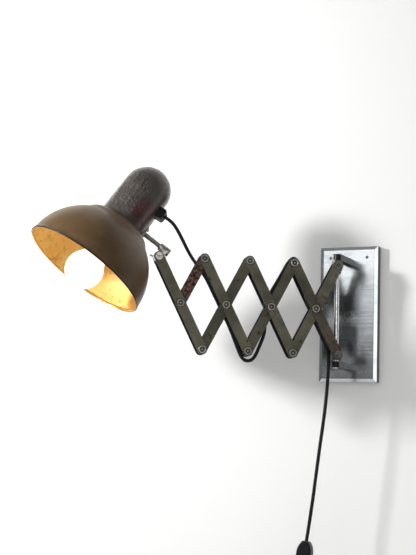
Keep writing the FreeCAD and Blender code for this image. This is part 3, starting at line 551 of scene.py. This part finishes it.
def spline_through(name, points, radius):
    """Smooth open curve with these control points."""
    curve = bpy.data.curves.new(name, "CURVE")
    curve.dimensions = "3D"
    curve.resolution_u = LEAD_STEPS
    spline = curve.splines.new("NURBS")
    spline.points.add(len(points) - 1)
    for control, point in zip(spline.points, points):
        control.co = (*point, 1)
    spline.order_u = 3
    spline.use_endpoint_u = True
    curve.bevel_depth = radius
    curve.bevel_resolution = 5
    curve.use_fill_caps = True
    piece = bpy.data.objects.new(name, curve)
    bpy.context.scene.collection.objects.link(piece)
    return piece


def free_lead(name, route, node):
    piece = spline_through(name, route, CORD_R)
    finish(piece, "cord")
    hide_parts(node)
    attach(piece, "slider")


def line_of(points):
    """Points along the smooth curve, about a radius apart."""
    guide = spline_through("guide", points, 0)
    guide.data.resolution_u = HELD_STEPS
    mesh = bpy.data.meshes.new_from_object(guide)
    line = [v.co.copy() for v in mesh.vertices]
    bpy.data.objects.remove(guide)
    bpy.data.meshes.remove(mesh)
    return line


def tube_rings(line, radius):
    """Rings of points along a line, each turned from the last by no more than the bend."""
    rings = []
    side = Vector((0, 1, 0))
    for i, here in enumerate(line):
        before, after = line[max(i - 1, 0)], line[min(i + 1, len(line) - 1)]
        way = (after - before).normalized()
        side = (side - way * side.dot(way)).normalized()
        up = way.cross(side)
        rings.append([here + (side * cos(a) + up * sin(a)) * radius
                      for a in (2 * pi * k / SECTION_POINTS for k in range(SECTION_POINTS))])
    return rings


def tube_piece(name, rings, start_cap, end_cap):
    points = [p for ring in rings for p in ring]
    count = len(rings[0])
    faces = []
    for row in range(len(rings) - 1):
        for k in range(count):
            on = (k + 1) % count
            faces.append([row * count + k, row * count + on, (row + 1) * count + on, (row + 1) * count + k])
    if start_cap:
        faces.append(list(range(count))[::-1])
    if end_cap:
        faces.append([(len(rings) - 1) * count + k for k in range(count)])
    return add_mesh(name, points, faces, smooth=radians(60))


# Where the held cord passes from one body to the next: the two bodies, the CAD node, and the
# stretch of the held length in which the cord goes over from the first body to the second.
HELD_LENGTH = 0.616
CROSSINGS = [("lamp_head", "tilt_knuckle", "arm_cord_lamp", 0.006, 0.022),
             ("tilt_knuckle", "link_a0", "arm_cord_lamp", 0.022, 0.055),
             ("link_a0", "link_b0", "arm_cord_lamp", 0.055, 0.088),
             ("link_b0", "link_a1", "arm_cord_lamp", 0.088, 0.125),
             ("link_a1", "link_b2", "arm_cord_middle", 0.225, 0.300),
             ("link_b2", "link_a3", "arm_cord_wall", 0.400, 0.480),
             ("link_a3", "slider", "arm_cord_wall", 0.560, 0.612)]


def index_at(walked, distance, low, high):
    """Index, from low to high, of the point nearest to a distance along the line."""
    return min(range(low, high + 1), key=lambda i: abs(walked[i] - distance))


def make_arm_cord():
    """The cord that the arm holds, cut into one piece round each place where it passes from one body to the
    next.
    """
    line = line_of([ARM @ p for p in FALL + LOOP + CLIMB + [EXIT]])
    rings = tube_rings(line, CORD_R)
    walked = [0.0]
    for here, there in zip(line, line[1:]):
        walked.append(walked[-1] + (there - here).length)
    scale = walked[-1] / HELD_LENGTH
    final = len(line) - 1
    stations = [0.5 * (first[4] + second[3]) * scale for first, second in zip(CROSSINGS, CROSSINGS[1:])]
    cuts = [0] + [index_at(walked, station, 0, final) for station in stations] + [final]
    for (body_a, body_b, node, begin, end), low, high in zip(CROSSINGS, cuts, cuts[1:]):
        piece = tube_piece("held_cord_%s_%s" % (body_a, body_b), rings[low:high + 1],
                           start_cap=low == 0, end_cap=high == final)
        finish(piece, "cord")
        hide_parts(node)
        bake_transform(piece)


free_lead("lead_upper", DROP, "cord_drop")
free_lead("lead_lower", tail_route(), "cord_tail")
make_arm_cord()


# ---------------------------------------------------------------- shade
SHADE_AROUND = 128
SPHERE_STEPS = 28
NECK_STEPS = 8
NECK_SLOPE = 0.45          # share of the neck's curve that starts inward at once
LEDGE_DIP = (0.0002, 0.0003)
BEAD_R = 0.0013
BEAD_MIDDLE = SHADE_R - 0.0001
BEAD_FROM = radians(75)
BEAD_SWEEP = radians(330)
BEAD_STEPS = 12
BEAD_SHADED_ROWS = 6              # of its rows, from the outside, that carry painted shade
BRONZE, GOLD, RIM_SHADE, LIP_HIGHLIGHT = range(4)


def shade_profile(wall):
    """Half outline of the shade from its mouth to its neck, taken in by a wall."""
    sphere = hypot(SHADE_R, SHADE_DROP) - wall
    low, high = asin(SHADE_DROP / sphere), acos((SHADE_TOP_R - wall) / sphere)
    outline = []
    for i in range(SPHERE_STEPS + 1):
        angle = low + (high - low) * i / SPHERE_STEPS
        outline.append((sphere * cos(angle), sphere * sin(angle) - SHADE_DROP))
    foot = outline[-1]
    ledge = (COLLAR_TOP[0] - wall, COLLAR_TOP[1] - wall / 2)
    outline.append(((foot[0] + ledge[0]) / 2 - LEDGE_DIP[0], (foot[1] + ledge[1]) / 2 - LEDGE_DIP[1]))
    outline.append(ledge)
    neck = (NECK[0] - wall / 2, NECK[1] - wall)
    for i in range(1, NECK_STEPS + 1):
        angle = pi / 2 * i / NECK_STEPS
        inward = NECK_SLOPE * sin(angle) + (1 - NECK_SLOPE) * (1 - cos(angle))
        outline.append((ledge[0] + (neck[0] - ledge[0]) * inward,
                        ledge[1] + (neck[1] - ledge[1]) * sin(angle)))
    return outline


def make_shade():
    """Spun shade: bronze outside, a bead with painted shade on its outer half and a painted highlight on its
    inner half, and gold within.
    """
    outer, inner = shade_profile(0), shade_profile(SHADE_WALL)
    bead = []
    for i in range(1, BEAD_STEPS):
        angle = BEAD_FROM - BEAD_SWEEP * i / BEAD_STEPS
        bead.append((BEAD_MIDDLE + BEAD_R * cos(angle), BEAD_R * sin(angle)))
    outline = outer[1:][::-1] + bead + inner[1:]
    outline = [(NECK_HOLE_R, NECK[1])] + outline + [(NECK_HOLE_R, NECK[1] - SHADE_WALL)]
    outline.append(outline[0])
    # the bead's outer rows carry painted shade, its inner rows a painted highlight
    bands = [BRONZE] * len(outer) + [RIM_SHADE] * BEAD_SHADED_ROWS + [LIP_HIGHLIGHT] * (len(bead) - BEAD_SHADED_ROWS)
    bands += [GOLD] * (len(outline) - 1 - len(bands))
    shade = add_mesh("shade_shell", *spun(outline, HEAD, SHADE_AROUND, bands), radians(50))
    finish(shade, "bronze", "gold", "rim", "lip")
    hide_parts("shade")
    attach(shade, "lamp_head")


make_shade()


# ---------------------------------------------------------------- cap
CAP_STEPS = 180
CAP_FLAT_ROWS = 70
CAP_ROUND_ROWS = 40
CAP_WALL = 0.0012
RUNS_AT = radians(62)      # middle of the wrinkled part, round the head's axis
RUNS_SPREAD = radians(52)
RUNS_LEVEL = 0.140
RUNS_HEIGHT = 0.044        # how far the wrinkles go up and down from that level
FOLDS_BELOW = 0.02         # how far below that level the short folds take over
RUN_DEPTH = 0.0017


def run_depth(angle, level):
    """Height of the lacquer's wrinkles: long runs down the cap, crossed by short folds lower down."""
    off = abs((angle - RUNS_AT + pi) % (2 * pi) - pi)
    patch = max(0, 1 - (off / RUNS_SPREAD) ** 2) * max(0, 1 - ((level - RUNS_LEVEL) / RUNS_HEIGHT) ** 2)
    wander = noise.noise(Vector((cos(angle) * 1.6, sin(angle) * 1.6, level * 45)))
    runs = 1 - abs(2 * noise.noise(Vector((angle * 9 + wander * 1.3, level * 26, 3.1))))
    folds = 1 - abs(2 * noise.noise(Vector((angle * 4 + 2.2, level * 190 + wander * 2.0, 7.7))))
    low = min(max((RUNS_LEVEL - level) / FOLDS_BELOW, 0), 1)
    height = max(runs, 0) ** 5 * (1 - 0.6 * low) + max(folds, 0) ** 4 * low
    return RUN_DEPTH * patch * height


def make_cap():
    """Round-ended can, with its wrinkles raised on the metal."""
    shoulder = HEAD_LENGTH - CAP_R
    bore = CAP_R - CAP_WALL
    inside = [(0, HEAD_LENGTH - CAP_WALL), (bore, shoulder), (bore, NECK[1])]
    outside = [(CAP_R, NECK[1] + (shoulder - NECK[1]) * i / CAP_FLAT_ROWS) for i in range(CAP_FLAT_ROWS)]
    for i in range(CAP_ROUND_ROWS):
        angle = pi / 2 * i / CAP_ROUND_ROWS
        outside.append((CAP_R * cos(angle), shoulder + CAP_R * sin(angle)))
    profile = inside + outside + [(0, HEAD_LENGTH)]

    def relief(row, angle):
        radius, level = profile[row]
        return run_depth(angle, level) * radius / CAP_R if row >= len(inside) else 0

    cap = add_mesh("cap_shell", *spun(profile, HEAD, CAP_STEPS, relief=relief), radians(50))
    finish(cap, "cap")
    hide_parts("lamp_cap")
    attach(cap, "lamp_head")


make_cap()


# ---------------------------------------------------------------- rivets
RIVET_STEPS = 40
RING_T = 0.00006
METAL, SHADE_AND_GRIME = range(2)


def make_rivet(node, place):
    """Tubular rivet with a rolled, cupped head, and the sleeve that keeps the strips apart."""
    upright = ARM @ Matrix.Translation(place) @ Matrix.Rotation(-pi / 2, 4, "X")
    back = [(0, -0.0010), (0.0040, -0.0010), (0.0055, -0.0008), (RIVET_HEAD_R, -0.0003),
            (RIVET_HEAD_R, 0)]
    front = [(RIVET_SHADOW_R, 0), (RIVET_SHADOW_R, RING_T), (RIVET_HEAD_R, RING_T), (RIVET_HEAD_R, 0.0004),
             (0.0058, 0.0009), (0.0052, 0.0012), (0.0046, 0.0012), (RIVET_CUP_R, 0.0009),
             (0.0038, 0.0002), (0.0030, -0.0003), (0.0021, -0.0004), (0.0016, 0.0001), (0, 0.0003)]
    outline = [(r, h - STACK) for r, h in back] + [(RIVET_R, -STACK), (RIVET_R, STACK)]
    # the dark rows: painted shadow round the head, and painted shade with some grime in the cup
    bands = [METAL] * len(outline) + [SHADE_AND_GRIME] * 2 + [METAL] * 5 + [SHADE_AND_GRIME] * 4 + [METAL]
    outline += [(r, h + STACK) for r, h in front]
    body = spun(outline, upright, RIVET_STEPS, bands)
    tube = [(RIVET_R, -SLEEVE_HALF), (SLEEVE_R, -SLEEVE_HALF), (SLEEVE_R, SLEEVE_HALF), (RIVET_R, SLEEVE_HALF)]
    sleeve = spun(tube, upright, RIVET_STEPS)
    rivet = add_mesh("rivet_" + node[len("pivot_"):], *joined(body, sleeve), radians(45))
    finish(rivet, "rivet", "cup")
    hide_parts(node)
    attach(rivet, BODY_OF[node])


for row, places in (("top", TOP), ("mid", MID), ("bottom", BOTTOM)):
    for i, place in enumerate(places):
        node = "pivot_%s_%d" % (row, i)
        if node in NODES:
            make_rivet(node, place)


# ---------------------------------------------------------------- CAD nodes that stay
# each node's finish and the rounding of its edges
CARRIED = {"wall_plate": ("plate", 0.0004), "lug_upper": ("lug", 0.0007), "lug_lower": ("lug", 0.0007),
           "guide_rod": ("rod", 0.0), "stop_collar": ("lug", 0.0005), "centre_screw": ("screw", 0.0003),
           "swivel_block": ("block", 0.0004), "swivel_washers": ("joint", 0.0002),
           "slider_block": ("block", 0.0004), "slider_heads": ("joint", 0.0005),
           "knuckle": ("joint", 0.0006), "tilt_bolt": ("joint", 0.0006), "wing_nut": ("joint", 0.0006),
           "stem": ("stem", 0.0), "saddle_plate": ("joint", 0.0004), "saddle_screws": ("joint", 0.0),
           "lamp_holder": ("holder", 0.0), "holder_ring": ("holder", 0.0004),
           "bulb_glass": ("bulb", 0.0), "bulb_cap": ("bulb_cap", 0.0), "cord_gland": ("gland", 0.0006),
           "switch_front": ("switch", 0.0008), "switch_back": ("switch", 0.0008),
           "switch_rocker": ("switch", 0.0005), "coil_tie": ("tie", 0.0004),
           "plug_body": ("plug", 0.0010), "plug_pins": ("pin", 0.0)}
STRIP_ROUNDING = 0.0004
STRIP_FINISH = {"link_b0": "strip_b0", "link_b3": "strip_b3", "link_a3": "strip_a3"}

for node, (name, rounding) in CARRIED.items():
    finish(NODES[node], name)
    if rounding:
        softened(node, rounding)
for node, body in BODY_OF.items():
    if node.startswith("link_"):
        plain = "strip_a" if node.startswith("link_a") else "strip_b"
        # back strips take the painted-shade black
        finish(NODES[node], "strip_back_painted_shade" if node.endswith("_back") else STRIP_FINISH.get(body, plain))
        softened(node, STRIP_ROUNDING)


# ---------------------------------------------------------------- wall, floor and light
WALL_Y = 0.0008
FLOOR_Z = -1.3
STAGE_REACH = 2.2
STAGE_COLOUR = (0.86, 0.86, 0.85, 1)
STAGE_LIFT = 0.15          # glow of wall and floor that the camera and reflections see
SKY_COLOUR = (0.93, 0.935, 0.94, 1)
SKY_BELOW, SKY_ABOVE = 0.09, 0.27
SKY_TURNS = (-0.12, 0.30)  # heights of the view between which the sky brightens
AIM = Vector((-0.13, -0.15, 0.0))                          # the middle of the arm
# each light's way from the middle of the arm, its distance, its width and its power; the glow's
# reflection is what makes the plate bright
LIGHTS = {"key": (Vector((-0.678, -0.668, 0.308)), 1.3, 0.16, 17.0),
          "fill": (Vector((0.41, -0.9, 0.15)), 3.0, 1.4, 9.0),
          "glow": (Vector((-0.30, -0.93, 0.37)), 3.0, 1.4, 9.0),
          "behind": (Vector((0.3, 1.0, 0.6)), 3.0, 1.6, 9.0)}


def stage_material(name, see_through_behind):
    """Pale matt surface that reads as white where it is lit; the wall doesn't hide what is behind it."""
    material = bpy.data.materials.new(name)
    material.use_nodes = True
    tree = material.node_tree
    tree.nodes.clear()
    output = tree.nodes.new("ShaderNodeOutputMaterial")
    matt = tree.nodes.new("ShaderNodeBsdfDiffuse")
    matt.inputs["Color"].default_value = STAGE_COLOUR
    glow = tree.nodes.new("ShaderNodeEmission")
    glow.inputs["Color"].default_value = (1, 1, 1, 1)
    path = tree.nodes.new("ShaderNodeLightPath").outputs
    seen = math_node(tree, "MAXIMUM", path["Is Camera Ray"], path["Is Glossy Ray"])
    tree.links.new(math_node(tree, "MULTIPLY", seen, STAGE_LIFT), glow.inputs["Strength"])
    both = tree.nodes.new("ShaderNodeAddShader")
    tree.links.new(matt.outputs["BSDF"], both.inputs[0])
    tree.links.new(glow.outputs["Emission"], both.inputs[1])
    if not see_through_behind:
        tree.links.new(both.outputs["Shader"], output.inputs["Surface"])
        return material
    behind = tree.nodes.new("ShaderNodeNewGeometry").outputs["Backfacing"]
    clear = math_node(tree, "MAXIMUM", behind, path["Is Shadow Ray"])
    through = tree.nodes.new("ShaderNodeBsdfTransparent")
    mix = tree.nodes.new("ShaderNodeMixShader")
    tree.links.new(clear, mix.inputs["Fac"])
    tree.links.new(both.outputs["Shader"], mix.inputs[1])
    tree.links.new(through.outputs["BSDF"], mix.inputs[2])
    tree.links.new(mix.outputs["Shader"], output.inputs["Surface"])
    return material


def make_stage():
    far = STAGE_REACH
    wall = add_mesh("wall", [(-far, WALL_Y, FLOOR_Z), (far, WALL_Y, FLOOR_Z), (far, WALL_Y, far),
                             (-far, WALL_Y, far)], [(0, 1, 2, 3)])
    wall.data.materials.append(stage_material("wall_paint", True))
    floor = add_mesh("floor", [(-far, -2 * far, FLOOR_Z), (far, -2 * far, FLOOR_Z),
                               (far, far, FLOOR_Z), (-far, far, FLOOR_Z)], [(0, 1, 2, 3)])
    floor.data.materials.append(stage_material("floor_paint", False))


def add_light(name, way, far, size, power):
    """Square lamp that faces the middle of the arm."""
    data = bpy.data.lights.new(name, "AREA")
    data.size = size
    data.energy = power
    lamp = bpy.data.objects.new(name, data)
    bpy.context.scene.collection.objects.link(lamp)
    at = AIM + way.normalized() * far
    lamp.matrix_world = Matrix.Translation(at) @ (at - AIM).to_track_quat("Z", "Y").to_matrix().to_4x4()


def make_world():
    """Sky that is brighter above the horizon than below, and pale where the camera sees it."""
    world = bpy.data.worlds.new("room")
    bpy.context.scene.world = world
    world.use_nodes = True
    tree = world.node_tree
    sky = tree.nodes["Background"]
    sky.inputs["Color"].default_value = SKY_COLOUR
    view = tree.nodes.new("ShaderNodeTexCoord").outputs["Generated"]
    split = tree.nodes.new("ShaderNodeSeparateXYZ")
    tree.links.new(view, split.inputs["Vector"])
    level = smooth_step(tree, split.outputs["Z"], *SKY_TURNS, SKY_BELOW, SKY_ABOVE)
    path = tree.nodes.new("ShaderNodeLightPath").outputs
    tree.links.new(math_node(tree, "MAXIMUM", level, path["Is Camera Ray"]), sky.inputs["Strength"])


make_stage()
make_world()
for name, (way, far, size, power) in LIGHTS.items():
    add_light(name, way, far, size, power)
bpy.context.scene.view_settings.view_transform = "Standard"
